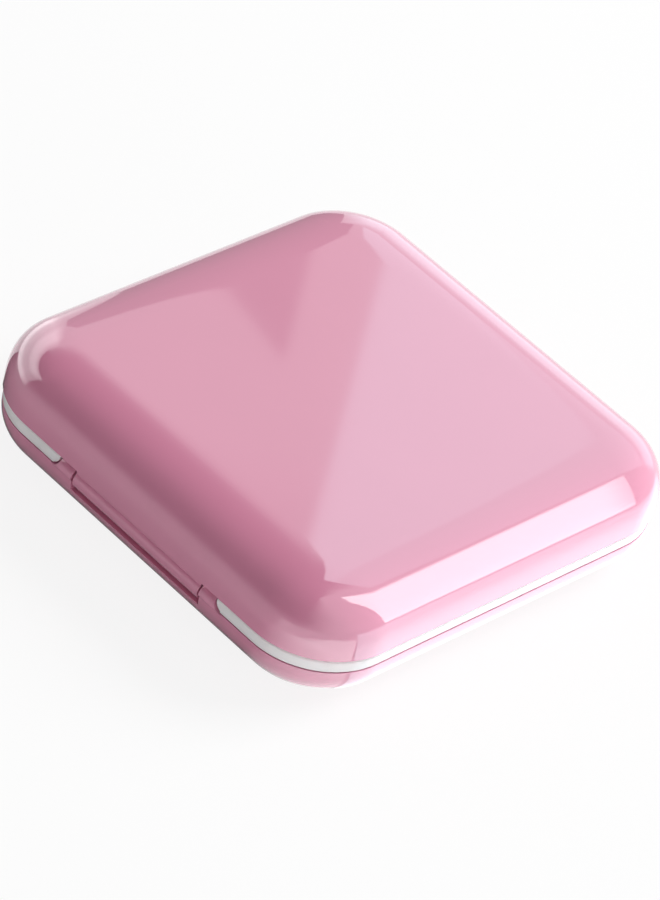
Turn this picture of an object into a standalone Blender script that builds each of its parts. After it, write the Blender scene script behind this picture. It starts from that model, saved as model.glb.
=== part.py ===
"""A square contact lens case: a hinged clamshell with twin lens wells, tweezers, an applicator and a mirror.

Metres, +Z up. The origin is at the centre of the underside. The hinge runs along X at the rear, +Y.
"""

import math

import bmesh
import bpy
from mathutils import Matrix

MM = 0.001

# Outer case. The lid and the slightly smaller base are rounded squares whose closed ends roll in.
CASE_SIDE = 72.0 * MM
CORNER_RADIUS = 12.2 * MM
BASE_HEIGHT = 7.1 * MM
BAND_HEIGHT = 2.4 * MM
LID_HEIGHT = 8.5 * MM
BASE_INSET = 0.35 * MM
BASE_ROLL = 9.0 * MM
LID_ROLL = 11.5 * MM
BASE_FULLNESS = 0.5
LID_FULLNESS = 0.63
RIM_WALL = 0.4 * MM
WALL = 1.5 * MM
CORNER_STEPS = 8
ROLL_STEPS = 6
HALF = CASE_SIDE / 2
BASE_HALF = HALF - BASE_INSET
LID_RIM_Z = BASE_HEIGHT + BAND_HEIGHT
CASE_HEIGHT = LID_RIM_Z + LID_HEIGHT

# Gaps: between pieces that only rest on each other, between pieces side by side, and round a turning piece.
LAYER_GAP = 0.15 * MM
SIDE_GAP = 0.3 * MM
RUNNING_GAP = 0.35 * MM

# Hinge: the base's ears carry the pin, and the lid's barrel turns on it between them.
HINGE_Y = HALF - 1.8 * MM
HINGE_Z = LID_RIM_Z - 2.2 * MM
EAR_RADIUS = 1.78 * MM
BARREL_RADIUS = 1.65 * MM
TROUGH_RADIUS = BARREL_RADIUS + RUNNING_GAP
HINGE_WALL = 0.8 * MM
BARREL_HALF = 12.9 * MM
EAR_INNER = BARREL_HALF + RUNNING_GAP
EAR_OUTER = 16.0 * MM
EAR_FILLET = 1.6 * MM
PIN_RADIUS = 0.75 * MM
PIN_HOLE_RADIUS = 0.85 * MM
PIN_HALF = EAR_OUTER - 0.4 * MM
NECK_OUTER = HALF - 0.6 * MM
NECK_INNER = HALF - 1.4 * MM
NECK_ROOT_Z = LID_RIM_Z + 1.0 * MM

# Thumb notch in the base's front rim.
NOTCH_RADIUS = 10.0 * MM
NOTCH_DEPTH = 1.2 * MM

# Tray: its flange shows between the shells as the band, and its lip registers the lid.
FLANGE_INSET = BASE_INSET + 0.05 * MM
FLANGE_CHAMFER = 0.5 * MM
FLANGE_BOTTOM = BASE_HEIGHT + LAYER_GAP
FLANGE_TOP = LID_RIM_Z - 0.4 * MM
LIP_INSET = WALL + 0.4 * MM
LIP_WALL = 1.0 * MM
LIP_TOP = LID_RIM_Z + 1.2 * MM
TRAY_WALL = 1.0 * MM
POCKET_FLOOR = 3.7 * MM
POCKET_CORNER = 4.0 * MM
TWEEZER_LANE = (-29.0 * MM, 2.6 * MM, 29.0 * MM, 15.4 * MM)
APPLICATOR_LANE = (-28.0 * MM, 19.4 * MM, 28.0 * MM, 28.6 * MM)
FINGER_GAP = (-8.0 * MM, 10.0 * MM, 8.0 * MM, 24.0 * MM)
RIB_WALL = 1.4 * MM
RIB_REACH = 15.0 * MM

# Twin lens wells and their screw caps. Heights here are from the wells' own foot.
WELL_X = 15.0 * MM
WELL_Y = -14.2 * MM
WELL_FOOT_Z = WALL + 0.2 * MM
WELL_RADIUS = 12.4 * MM
WELL_BORE = 10.2 * MM
WELL_FLOOR = 1.2 * MM
WELL_DISH = 4.0 * MM
WELL_STEPS = 32
NECK_RADIUS = 11.4 * MM
SHOULDER_Z = 4.6 * MM
LIP_Z = 9.4 * MM
BRIDGE_HALF_WIDTH = 4.5 * MM
BRIDGE_BOTTOM = 3.0 * MM
BRIDGE_TOP = 4.6 * MM
CAP_RADIUS = 13.6 * MM
CAP_BORE = 12.3 * MM
CAP_SKIRT_Z = 5.3 * MM
CAP_ROOF_Z = 10.1 * MM
CAP_TOP_Z = 11.2 * MM
CAP_EDGE = 0.9 * MM
SEAL_RADIUS = 11.6 * MM
SEAL_GAP = 0.15 * MM
SEAT_RADIUS = WELL_RADIUS + 0.4 * MM
COUNTERBORE_RADIUS = CAP_RADIUS + 0.6 * MM
COUNTERBORE_Z = WELL_FOOT_Z + SHOULDER_Z

# Screw thread: a right-handed round ridge on each neck, with the cap's ridge just below it.
THREAD_LEAD = 3.0 * MM
THREAD_RADIUS = 0.5 * MM
THREAD_STEPS_PER_TURN = 32
OUTER_THREAD = (NECK_RADIUS + 0.1 * MM, 0.0, 240.0)
INNER_THREAD = (CAP_BORE - 0.1 * MM, 60.0, 240.0)
OUTER_THREAD_Z = 6.6 * MM
INNER_THREAD_Z = OUTER_THREAD_Z - 1.2 * MM

# Tweezers: two arms that flex at a bow, each with a soft tip.
TWEEZER_Y = 9.0 * MM
TWEEZER_BOTTOM = 5.0 * MM
TWEEZER_THICKNESS = 4.0 * MM
BOW_FRONT_X = 19.4 * MM
BOW_TAIL_X = 26.0 * MM
BOW_HALF_WIDTH = 2.7 * MM
ARM_ROOT_X = BOW_FRONT_X - SIDE_GAP
ARM_END_X = -19.0 * MM
ARM_ROOT_SPREAD = 1.75 * MM
ARM_END_SPREAD = 3.4 * MM
ARM_BULGE = 2.2 * MM
ARM_ROOT_WIDTH = 1.8 * MM
ARM_END_WIDTH = 1.6 * MM
ARM_STEPS = 12
TANG_LENGTH = 4.0 * MM
TANG_WIDTH = 0.9 * MM
TANG_THICKNESS = 2.2 * MM
TIP_LENGTH = 8.0 * MM
TIP_WIDTH = 2.6 * MM
TIP_SOCKET_GAP = 0.2 * MM

# Applicator: a handle with a soft suction cup on its peg. Lengths run along the handle from its tail.
APPLICATOR_Y = 24.0 * MM
APPLICATOR_Z = 7.3 * MM
APPLICATOR_TAIL_X = -24.0 * MM
HANDLE_RADIUS = 2.7 * MM
HANDLE_WAIST = 2.1 * MM
HANDLE_LENGTH = 40.0 * MM
PEG_RADIUS = 1.3 * MM
PEG_LENGTH = 4.0 * MM
CUP_LENGTH = 7.7 * MM
CUP_ROOT_RADIUS = 2.3 * MM
CUP_MOUTH_RADIUS = 3.2 * MM
CUP_LIP = 0.5 * MM
CUP_HOLLOW = 2.4 * MM
HANDLE_STEPS = 20

# Mirror, held in the lid by a frame and a sheet of tape.
CEILING_Z = CASE_HEIGHT - WALL
FRAME_HALF = 29.3 * MM
FRAME_CORNER = 5.5 * MM
FRAME_BOTTOM = CEILING_Z - 1.6 * MM
FRAME_TOP = CEILING_Z - 0.4 * MM
MIRROR_HALF = 26.0 * MM
MIRROR_CORNER = 4.5 * MM
MIRROR_THICKNESS = 1.0 * MM
TAPE_HALF = 25.0 * MM
TAPE_THICKNESS = 0.2 * MM
TAPE_GAP = 0.1 * MM


def clear_scene():
    for obj in list(bpy.data.objects):
        bpy.data.objects.remove(obj, do_unlink=True)


def new_collection(name):
    collection = bpy.data.collections.new(name)
    bpy.context.scene.collection.children.link(collection)
    return collection


def make_material(name, colour, roughness, metallic=0.0):
    material = bpy.data.materials.new(name)
    material.use_nodes = True
    shader = material.node_tree.nodes["Principled BSDF"]
    shader.inputs["Base Color"].default_value = (*colour, 1.0)
    shader.inputs["Roughness"].default_value = roughness
    shader.inputs["Metallic"].default_value = metallic
    return material


clear_scene()
PARTS = new_collection("contact_lens_case")
CUTTERS = new_collection("cutters")

PINK = make_material("pink_gloss_plastic", (0.80, 0.33, 0.49), 0.12)
WHITE = make_material("white_plastic", (0.86, 0.84, 0.85), 0.30)
PALE_PINK = make_material("pale_pink_plastic", (0.85, 0.55, 0.65), 0.25)
CLEAR_WHITE = make_material("milky_plastic", (0.80, 0.78, 0.80), 0.20)
SILICONE = make_material("soft_silicone", (0.82, 0.72, 0.75), 0.45)
STEEL = make_material("steel", (0.60, 0.60, 0.62), 0.30, 1.0)
MIRROR = make_material("mirror", (0.90, 0.91, 0.92), 0.03, 1.0)
TAPE = make_material("tape", (0.55, 0.55, 0.55), 0.80)


# Shape helpers

def object_of(name, mesh):
    obj = bpy.data.objects.new(name, mesh)
    PARTS.objects.link(obj)
    return obj


def object_from_bmesh(name, bm):
    mesh = bpy.data.meshes.new(name)
    bm.to_mesh(mesh)
    bm.free()
    return object_of(name, mesh)


def as_mesh(obj):
    """The object as it is evaluated, made a plain welded mesh in the same place."""
    bpy.context.view_layer.update()
    graph = bpy.context.evaluated_depsgraph_get()
    mesh = bpy.data.meshes.new_from_object(obj.evaluated_get(graph))
    bm = bmesh.new()
    bm.from_mesh(mesh)
    bmesh.ops.remove_doubles(bm, verts=bm.verts, dist=0.001 * MM)
    bmesh.ops.recalc_face_normals(bm, faces=bm.faces)
    bm.to_mesh(mesh)
    bm.free()
    name = obj.name
    place = obj.matrix_world.copy()
    bpy.data.objects.remove(obj)
    solid = object_of(name, mesh)
    solid.matrix_world = place
    return solid


def arc(centre, radius, start, end, steps):
    """Points along a circular arc, with angles in degrees."""
    points = []
    for step in range(steps + 1):
        angle = math.radians(start + (end - start) * step / steps)
        points.append((centre[0] + radius * math.cos(angle), centre[1] + radius * math.sin(angle)))
    return points


def rounded_rectangle(low_x, low_y, high_x, high_y, radius, steps=6):
    corners = (
        (high_x - radius, high_y - radius, 0),
        (low_x + radius, high_y - radius, 90),
        (low_x + radius, low_y + radius, 180),
        (high_x - radius, low_y + radius, 270),
    )
    outline = []
    for x, y, start in corners:
        outline += arc((x, y), radius, start, start + 90, steps)
    return outline


def rounded_square(half, radius, steps=CORNER_STEPS):
    return rounded_rectangle(-half, -half, half, half, radius, steps)


def extruded(name, outlines, depth, place):
    """Flat outlines, the later ones holes in the first, thickened evenly along Z and then placed."""
    curve = bpy.data.curves.new(name, "CURVE")
    curve.dimensions = "2D"
    curve.fill_mode = "BOTH"
    curve.extrude = depth / 2
    for outline in outlines:
        spline = curve.splines.new("POLY")
        spline.points.add(len(outline) - 1)
        for point, (x, y) in zip(spline.points, outline):
            point.co = (x, y, 0.0, 1.0)
        spline.use_cyclic_u = True
    obj = object_of(name, curve)
    obj.matrix_world = place
    return as_mesh(obj)


def slab(name, outlines, bottom, top):
    """A flat piece between two heights."""
    middle = Matrix.Translation((0, 0, (bottom + top) / 2))
    return extruded(name, outlines, top - bottom, middle)


def along_x(name, outline, low_x, high_x):
    """A side outline of (y, z) points, drawn out along X."""
    turn = Matrix(((0, 0, 1, 0), (1, 0, 0, 0), (0, 1, 0, 0), (0, 0, 0, 1)))
    middle = Matrix.Translation(((low_x + high_x) / 2, 0, 0))
    return extruded(name, [outline], high_x - low_x, middle @ turn)


def along_y(name, outline, low_y, high_y):
    """A front outline of (x, z) points, drawn out along Y."""
    middle = Matrix.Translation((0, (low_y + high_y) / 2, 0))
    return extruded(name, [outline], high_y - low_y, middle @ Matrix.Rotation(math.pi / 2, 4, "X"))


def block(name, low, high):
    """A plain box between two corners."""
    bm = bmesh.new()
    bmesh.ops.create_cube(bm, size=1.0)
    bmesh.ops.scale(bm, verts=bm.verts, vec=[b - a for a, b in zip(low, high)])
    bmesh.ops.translate(bm, verts=bm.verts, vec=[(a + b) / 2 for a, b in zip(low, high)])
    return object_from_bmesh(name, bm)


def rod(name, radius, half_length, y, z, steps=16):
    """A cylinder along X."""
    bm = bmesh.new()
    turn = Matrix.Translation((0, y, z)) @ Matrix.Rotation(math.pi / 2, 4, "Y")
    bmesh.ops.create_cone(
        bm, cap_ends=True, segments=steps, radius1=radius, radius2=radius, depth=2 * half_length, matrix=turn
    )
    return object_from_bmesh(name, bm)


def post(name, radius, x, y, bottom, top, steps=WELL_STEPS):
    """A cylinder along Z."""
    bm = bmesh.new()
    place = Matrix.Translation((x, y, (bottom + top) / 2))
    bmesh.ops.create_cone(
        bm, cap_ends=True, segments=steps, radius1=radius, radius2=radius, depth=top - bottom, matrix=place
    )
    return object_from_bmesh(name, bm)


def turned(name, profile, steps):
    """A profile of (radius, height) points, running down its outer side, turned once about Z."""
    mesh = bpy.data.meshes.new(name)
    edges = [(i, i + 1) for i in range(len(profile) - 1)]
    mesh.from_pydata([(radius, 0, height) for radius, height in profile], edges, [])
    obj = object_of(name, mesh)
    screw = obj.modifiers.new("turn", "SCREW")
    screw.steps = steps
    screw.render_steps = steps
    screw.use_merge_vertices = True
    screw.merge_threshold = 0.001 * MM
    return as_mesh(obj)


def helix_ridge(name, thread, start_z):
    """A round ridge that climbs one thread lead a turn, as a tube with closed ends."""
    radius, start, end = thread
    curve = bpy.data.curves.new(name, "CURVE")
    curve.dimensions = "3D"
    curve.bevel_depth = THREAD_RADIUS
    curve.bevel_resolution = 1
    curve.use_fill_caps = True
    count = round((end - start) / 360 * THREAD_STEPS_PER_TURN)
    spline = curve.splines.new("POLY")
    spline.points.add(count)
    for step, point in enumerate(spline.points):
        angle = start + (end - start) * step / count
        turn = math.radians(angle)
        climb = start_z + THREAD_LEAD * angle / 360
        point.co = (radius * math.cos(turn), radius * math.sin(turn), climb, 1.0)
    return as_mesh(object_of(name, curve))


def boolean(target, other, operation):
    modifier = target.modifiers.new(other.name, "BOOLEAN")
    modifier.operation = operation
    modifier.solver = "EXACT"
    modifier.object = other
    if other.name in PARTS.objects:
        PARTS.objects.unlink(other)
        CUTTERS.objects.link(other)
    other.hide_render = True
    other.display_type = "WIRE"


def join(target, *others):
    for other in others:
        boolean(target, other, "UNION")


def cut(target, *others):
    for other in others:
        boolean(target, other, "DIFFERENCE")


def finish(piece, material, smooth_angle=35.0):
    """Gives a piece its material and smooth shading over its round stretches."""
    piece.data.materials.clear()
    piece.data.materials.append(material)
    piece.data.shade_smooth()
    piece.data.set_sharp_from_angle(angle=math.radians(smooth_angle))
    return piece


def pivot(name, x, y, z):
    empty = bpy.data.objects.new(name, None)
    empty.location = (x, y, z)
    empty.empty_display_size = 5 * MM
    PARTS.objects.link(empty)
    return empty


def hang(parent, *pieces):
    """Parents pieces to a pivot and leaves them where they are."""
    for piece in pieces:
        piece.parent = parent
        piece.matrix_parent_inverse = Matrix.Translation(parent.location).inverted()


# Outer shells

def rolled_tub(half, radius, height, roll, fullness):
    """A rounded square tub, open at the top, whose floor rolls up into its wall; 0.5 is an ellipse."""
    stretch = (height - RIM_WALL) / roll
    cage_height = height / stretch
    bm = bmesh.new()
    bmesh.ops.create_cube(bm, size=1.0)
    bmesh.ops.scale(bm, verts=bm.verts, vec=(2 * half, 2 * half, cage_height))
    bmesh.ops.translate(bm, verts=bm.verts, vec=(0, 0, cage_height / 2))
    upright = [e for e in bm.edges if abs(e.verts[0].co.z - e.verts[1].co.z) > cage_height / 2]
    bmesh.ops.bevel(
        bm, geom=upright, offset=radius, offset_type="OFFSET", segments=CORNER_STEPS,
        profile=0.5, affect="EDGES", material=-1,
    )
    lid_face = max(bm.faces, key=lambda face: face.calc_center_median().z)
    bmesh.ops.delete(bm, geom=[lid_face], context="FACES_ONLY")
    floor = min(bm.faces, key=lambda face: face.calc_center_median().z)
    bmesh.ops.bevel(
        bm, geom=list(floor.edges), offset=roll, offset_type="OFFSET", segments=ROLL_STEPS,
        profile=fullness, affect="EDGES", material=-1, clamp_overlap=False,
    )
    bmesh.ops.scale(bm, verts=bm.verts, vec=(1, 1, stretch))
    return bm


def hollow(obj):
    shell = obj.modifiers.new("wall", "SOLIDIFY")
    shell.thickness = WALL
    shell.offset = -1.0
    shell.use_even_offset = True
    return as_mesh(obj)


def ear_outline():
    """The (x, z) outline of the hinge block, whose ends sweep up from the base's rim in a hollow curve."""
    foot_x = EAR_OUTER + EAR_FILLET
    sweep_z = BASE_HEIGHT + EAR_FILLET
    bottom = HINGE_Z - TROUGH_RADIUS - HINGE_WALL
    sweep = arc((foot_x, sweep_z), EAR_FILLET, 270, 180, 5)
    right = [(foot_x, bottom), *sweep, (EAR_OUTER, LID_RIM_Z)]
    left = [(-x, z) for x, z in reversed(right)]
    return right + left


def hinge_block_profile():
    """The (y, z) outline of the hinge block: a round ear on a foot that is buried in the base's wall."""
    inner = HINGE_Y - TROUGH_RADIUS - HINGE_WALL
    bottom = HINGE_Z - TROUGH_RADIUS - HINGE_WALL
    buried = BASE_HALF - 0.65 * MM
    foot = [(buried, bottom), (buried, HINGE_Z - 1.2 * MM)]
    ear = arc((HINGE_Y, HINGE_Z), EAR_RADIUS, 0, 90, 6)
    return [*foot, *ear, (inner, HINGE_Z + EAR_RADIUS), (inner, bottom)]


def trough_profile():
    """The (y, z) outline of the space that the lid's barrel and neck turn in, open to the rear and top."""
    outside = CASE_SIDE
    inner = HINGE_Y - TROUGH_RADIUS
    bowl = arc((HINGE_Y, HINGE_Z), TROUGH_RADIUS, 180, 285, 8)
    mouth_z = HINGE_Z - TROUGH_RADIUS - 0.3 * MM
    return [*bowl, (outside, mouth_z), (outside, CASE_HEIGHT), (inner, CASE_HEIGHT)]


def make_base_shell():
    tub = rolled_tub(BASE_HALF, CORNER_RADIUS - BASE_INSET, BASE_HEIGHT, BASE_ROLL, BASE_FULLNESS)
    base = hollow(object_from_bmesh("base_shell", tub))
    ears = along_x("hinge_block", hinge_block_profile(), -2 * EAR_OUTER, 2 * EAR_OUTER)
    boolean(ears, along_y("ear_ends", ear_outline(), HINGE_Y - CORNER_RADIUS, CASE_SIDE), "INTERSECT")
    join(base, ears)
    trough = along_x("hinge_trough", trough_profile(), -EAR_INNER, EAR_INNER)
    pin_hole = rod("ear_pin_hole", PIN_HOLE_RADIUS, PIN_HALF + 0.2 * MM, HINGE_Y, HINGE_Z)
    notch_z = BASE_HEIGHT + NOTCH_RADIUS - NOTCH_DEPTH
    notch_round = arc((0, notch_z), NOTCH_RADIUS, 0, 348.75, 31)
    notch = along_y("thumb_notch", notch_round, -CASE_SIDE, -BASE_HALF + 0.6 * WALL)
    cut(base, trough, pin_hole, notch)
    return finish(base, PINK)


def make_lid_shell():
    bm = rolled_tub(HALF, CORNER_RADIUS, LID_HEIGHT, LID_ROLL, LID_FULLNESS)
    bmesh.ops.scale(bm, verts=bm.verts, vec=(1, 1, -1))
    bmesh.ops.translate(bm, verts=bm.verts, vec=(0, 0, CASE_HEIGHT))
    bmesh.ops.reverse_faces(bm, faces=bm.faces)
    lid = hollow(object_from_bmesh("lid_shell", bm))
    barrel = rod("hinge_barrel", BARREL_RADIUS, BARREL_HALF, HINGE_Y, HINGE_Z, 24)
    neck = block("hinge_neck", (-BARREL_HALF, NECK_INNER, HINGE_Z), (BARREL_HALF, NECK_OUTER, NECK_ROOT_Z))
    join(barrel, neck)
    join(lid, barrel)
    cut(lid, rod("barrel_bore", PIN_HOLE_RADIUS, CASE_SIDE / 3, HINGE_Y, HINGE_Z))
    return finish(lid, PINK)


def make_hinge_pin():
    return finish(rod("hinge_pin", PIN_RADIUS, PIN_HALF, HINGE_Y, HINGE_Z), STEEL)


# Tray

def grown(box, by):
    low_x, low_y, high_x, high_y = box
    return (low_x - by, low_y - by, high_x + by, high_y + by)


def flange():
    """The tray's square plate, with a chamfer round its top edge that the opening lid swings past."""
    half = HALF - FLANGE_INSET
    bm = bmesh.new()
    bmesh.ops.create_cube(bm, size=1.0)
    bmesh.ops.scale(bm, verts=bm.verts, vec=(2 * half, 2 * half, FLANGE_TOP - FLANGE_BOTTOM))
    bmesh.ops.translate(bm, verts=bm.verts, vec=(0, 0, (FLANGE_BOTTOM + FLANGE_TOP) / 2))
    upright = [e for e in bm.edges if abs(e.verts[0].co.z - e.verts[1].co.z) > BASE_INSET]
    bmesh.ops.bevel(
        bm, geom=upright, offset=CORNER_RADIUS - FLANGE_INSET, offset_type="OFFSET", segments=CORNER_STEPS,
        profile=0.5, affect="EDGES", material=-1,
    )
    top = max(bm.faces, key=lambda face: face.calc_center_median().z)
    bmesh.ops.bevel(
        bm, geom=list(top.edges), offset=FLANGE_CHAMFER, offset_type="OFFSET", segments=1,
        profile=0.5, affect="EDGES", material=-1,
    )
    return object_from_bmesh("base_tray", bm)


def flange_notch_outline():
    """The (x, z) outline that the flange leaves free round the hinge block, a side gap off its swept ends."""
    foot_x = EAR_OUTER + EAR_FILLET
    sweep_z = BASE_HEIGHT + EAR_FILLET
    sweep = arc((foot_x, sweep_z), EAR_FILLET - SIDE_GAP, 255, 180, 5)
    right = [(sweep[0][0], 0.0), *sweep, (EAR_OUTER + SIDE_GAP, CASE_HEIGHT)]
    left = [(-x, z) for x, z in reversed(right)]
    return right + left


def cradle(name, x):
    """A rib across the applicator's lane, with a round seat for the handle."""
    _, low_y, _, high_y = APPLICATOR_LANE
    low = (x - RIB_WALL / 2, low_y - TRAY_WALL / 2, POCKET_FLOOR - TRAY_WALL / 2)
    high = (x + RIB_WALL / 2, high_y + TRAY_WALL / 2, APPLICATOR_Z)
    rib = block(name, low, high)
    seat_radius = HANDLE_RADIUS + SIDE_GAP
    cut(rib, rod(name + "_seat", seat_radius, HALF, APPLICATOR_Y, APPLICATOR_Z, HANDLE_STEPS))
    return rib


def tweezer_rest(name, x):
    """A low rib that lifts the tweezers off the pocket's floor."""
    _, low_y, _, high_y = TWEEZER_LANE
    low = (x - RIB_WALL / 2, low_y - TRAY_WALL / 2, POCKET_FLOOR - TRAY_WALL / 2)
    return block(name, low, (x + RIB_WALL / 2, high_y + TRAY_WALL / 2, TWEEZER_BOTTOM - LAYER_GAP))


def make_base_tray():
    tray = flange()
    lip_rings = []
    for inset in (LIP_INSET, LIP_INSET + LIP_WALL):
        lip_rings.append(rounded_square(HALF - inset, CORNER_RADIUS - inset))
    join(tray, slab("tray_lip", lip_rings, FLANGE_BOTTOM + TRAY_WALL, LIP_TOP))

    pockets = {
        "tweezer_pocket": TWEEZER_LANE,
        "applicator_pocket": APPLICATOR_LANE,
        "finger_pocket": FINGER_GAP,
    }
    deck = (FLANGE_BOTTOM + FLANGE_TOP) / 2
    for name, box in pockets.items():
        outline = rounded_rectangle(*grown(box, TRAY_WALL), POCKET_CORNER + TRAY_WALL, 4)
        join(tray, slab(name + "_walls", [outline], POCKET_FLOOR - TRAY_WALL, deck))
    for side in (-1, 1):
        ring_radius = COUNTERBORE_RADIUS + TRAY_WALL
        join(tray, post(f"well_walls_{side}", ring_radius, side * WELL_X, WELL_Y, 2 * WALL, deck))

    for name, box in pockets.items():
        outline = rounded_rectangle(*box, POCKET_CORNER, 4)
        cut(tray, slab(name, [outline], POCKET_FLOOR, CASE_HEIGHT))
    for side in (-1, 1):
        seat = post(f"well_seat_{side}", SEAT_RADIUS, side * WELL_X, WELL_Y, -WALL, CASE_HEIGHT)
        counterbore = post(
            f"well_counterbore_{side}", COUNTERBORE_RADIUS, side * WELL_X, WELL_Y, COUNTERBORE_Z, CASE_HEIGHT
        )
        cut(tray, seat, counterbore)
    slot_half = BRIDGE_HALF_WIDTH + 1.1 * MM
    slot_bottom = WELL_FOOT_Z + BRIDGE_BOTTOM - RUNNING_GAP
    slot_low = (-WELL_X, WELL_Y - slot_half, slot_bottom)
    slot = block("bridge_slot", slot_low, (WELL_X, WELL_Y + slot_half, CASE_HEIGHT))
    notch_front = HINGE_Y - TROUGH_RADIUS - HINGE_WALL - SIDE_GAP
    cut(tray, slot, along_y("flange_notch", flange_notch_outline(), notch_front, CASE_SIDE))

    for side in (-1, 1):
        join(tray, cradle(f"cradle_{side}", side * RIB_REACH))
        join(tray, tweezer_rest(f"tweezer_rest_{side}", side * RIB_REACH))
    return finish(tray, WHITE)


# Lens wells and caps

def well_profile():
    dish = arc((WELL_BORE - WELL_DISH, WELL_FLOOR + WELL_DISH), WELL_DISH, 270, 360, 5)
    foot = 0.8 * MM
    outside = [
        (NECK_RADIUS, LIP_Z), (NECK_RADIUS, SHOULDER_Z + 0.4 * MM), (WELL_RADIUS, SHOULDER_Z),
        (WELL_RADIUS, foot), (WELL_RADIUS - foot, 0.0), (0.0, 0.0),
    ]
    return [(0.0, WELL_FLOOR), *dish, (WELL_BORE, LIP_Z), *outside]


def cap_profile():
    return [
        (0.0, CAP_TOP_Z), (CAP_RADIUS - CAP_EDGE, CAP_TOP_Z), (CAP_RADIUS, CAP_TOP_Z - CAP_EDGE),
        (CAP_RADIUS, CAP_SKIRT_Z), (CAP_BORE, CAP_SKIRT_Z), (CAP_BORE, CAP_ROOF_Z), (0.0, CAP_ROOF_Z),
    ]


def seal_profile():
    top = CAP_ROOF_Z - SEAL_GAP
    bottom = LIP_Z + SEAL_GAP
    return [(0.0, top), (SEAL_RADIUS, top), (SEAL_RADIUS, bottom), (0.0, bottom)]


def threaded_well(name, x):
    well = turned(name, well_profile(), WELL_STEPS)
    join(well, helix_ridge(name + "_thread", OUTER_THREAD, OUTER_THREAD_Z))
    well = as_mesh(well)
    well.location = (x, WELL_Y, WELL_FOOT_Z)
    return well


def make_lens_holder():
    holder = threaded_well("lens_holder", -WELL_X)
    reach = WELL_X - (WELL_RADIUS + WELL_BORE) / 2
    low = (-reach, WELL_Y - BRIDGE_HALF_WIDTH, WELL_FOOT_Z + BRIDGE_BOTTOM)
    high = (reach, WELL_Y + BRIDGE_HALF_WIDTH, WELL_FOOT_Z + BRIDGE_TOP)
    join(holder, block("well_bridge", low, high), threaded_well("second_well", WELL_X))
    return finish(holder, CLEAR_WHITE)


def make_cap(name, x):
    cap = turned(name, cap_profile(), WELL_STEPS)
    join(cap, helix_ridge(name + "_thread", INNER_THREAD, INNER_THREAD_Z))
    cap = as_mesh(cap)
    cap.location = (x, WELL_Y, WELL_FOOT_Z)
    return finish(cap, PALE_PINK)


def make_cap_seal(name, x):
    seal = turned(name, seal_profile(), WELL_STEPS)
    seal.location = (x, WELL_Y, WELL_FOOT_Z)
    return finish(seal, SILICONE)


# Tweezers and applicator

def arm_spread(t):
    """How far an arm's middle line lies from the tweezers' own, from the bow (0) to the arm's end (1)."""
    return ARM_ROOT_SPREAD + (ARM_END_SPREAD - ARM_ROOT_SPREAD) * t + ARM_BULGE * math.sin(math.pi * t)


def arm_outline(side):
    outer = []
    inner = []
    for step in range(ARM_STEPS + 1):
        t = step / ARM_STEPS
        x = ARM_ROOT_X + (ARM_END_X - ARM_ROOT_X) * t
        half_width = (ARM_ROOT_WIDTH + (ARM_END_WIDTH - ARM_ROOT_WIDTH) * t) / 2
        outer.append((x, TWEEZER_Y + side * (arm_spread(t) + half_width)))
        inner.append((x, TWEEZER_Y + side * (arm_spread(t) - half_width)))
    return outer + inner[::-1]


def tang(name, side, gap):
    """The peg at an arm's end that its tip is pushed onto, or the tip's socket for it, a gap larger."""
    y = TWEEZER_Y + side * ARM_END_SPREAD
    z = TWEEZER_BOTTOM + TWEEZER_THICKNESS / 2
    half_width = TANG_WIDTH / 2 + gap
    half_thickness = TANG_THICKNESS / 2 + gap
    low = (ARM_END_X - TANG_LENGTH - gap, y - half_width, z - half_thickness)
    return block(name, low, (ARM_END_X + 1 * MM, y + half_width, z + half_thickness))


def make_tweezer_arm(name, side):
    arm = slab(name, [arm_outline(side)], TWEEZER_BOTTOM, TWEEZER_BOTTOM + TWEEZER_THICKNESS)
    join(arm, tang(name + "_tang", side, 0.0))
    return finish(arm, PALE_PINK)


def make_tweezer_tip(name, side):
    y = TWEEZER_Y + side * ARM_END_SPREAD
    root_x = ARM_END_X - SIDE_GAP
    nose = TIP_WIDTH / 2
    round_end = arc((root_x - TIP_LENGTH + nose, y), nose, 90, 270, 8)
    outline = [*round_end, (root_x, y - nose), (root_x, y + nose)]
    tip = slab(name, [outline], TWEEZER_BOTTOM, TWEEZER_BOTTOM + TWEEZER_THICKNESS)
    cut(tip, tang(name + "_socket", side, TIP_SOCKET_GAP))
    return finish(tip, SILICONE)


def make_tweezer_bow():
    tail = arc((BOW_TAIL_X - BOW_HALF_WIDTH, TWEEZER_Y), BOW_HALF_WIDTH, -90, 90, 10)
    outline = [*tail, (BOW_FRONT_X, TWEEZER_Y + BOW_HALF_WIDTH), (BOW_FRONT_X, TWEEZER_Y - BOW_HALF_WIDTH)]
    bow = slab("tweezer_bow", [outline], TWEEZER_BOTTOM, TWEEZER_BOTTOM + TWEEZER_THICKNESS)
    return finish(bow, PALE_PINK)


def lay_along_x(piece):
    """Lays a turned piece, whose axis is Z, along the applicator's lane."""
    piece.rotation_euler = (0, math.pi / 2, 0)
    piece.location = (APPLICATOR_TAIL_X, APPLICATOR_Y, APPLICATOR_Z)
    return piece


def make_applicator_handle():
    tail = arc((0.0, HANDLE_RADIUS), HANDLE_RADIUS, 0, -90, 5)
    waist_start = HANDLE_LENGTH * 0.55
    grip = [
        (PEG_RADIUS, HANDLE_LENGTH), (HANDLE_WAIST, HANDLE_LENGTH), (HANDLE_WAIST, HANDLE_LENGTH * 0.75),
        (HANDLE_RADIUS, waist_start),
    ]
    peg_end = HANDLE_LENGTH + PEG_LENGTH
    profile = [(0.0, peg_end), (PEG_RADIUS, peg_end), *grip, *tail]
    return finish(lay_along_x(turned("applicator_handle", profile, HANDLE_STEPS)), PALE_PINK)


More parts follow.
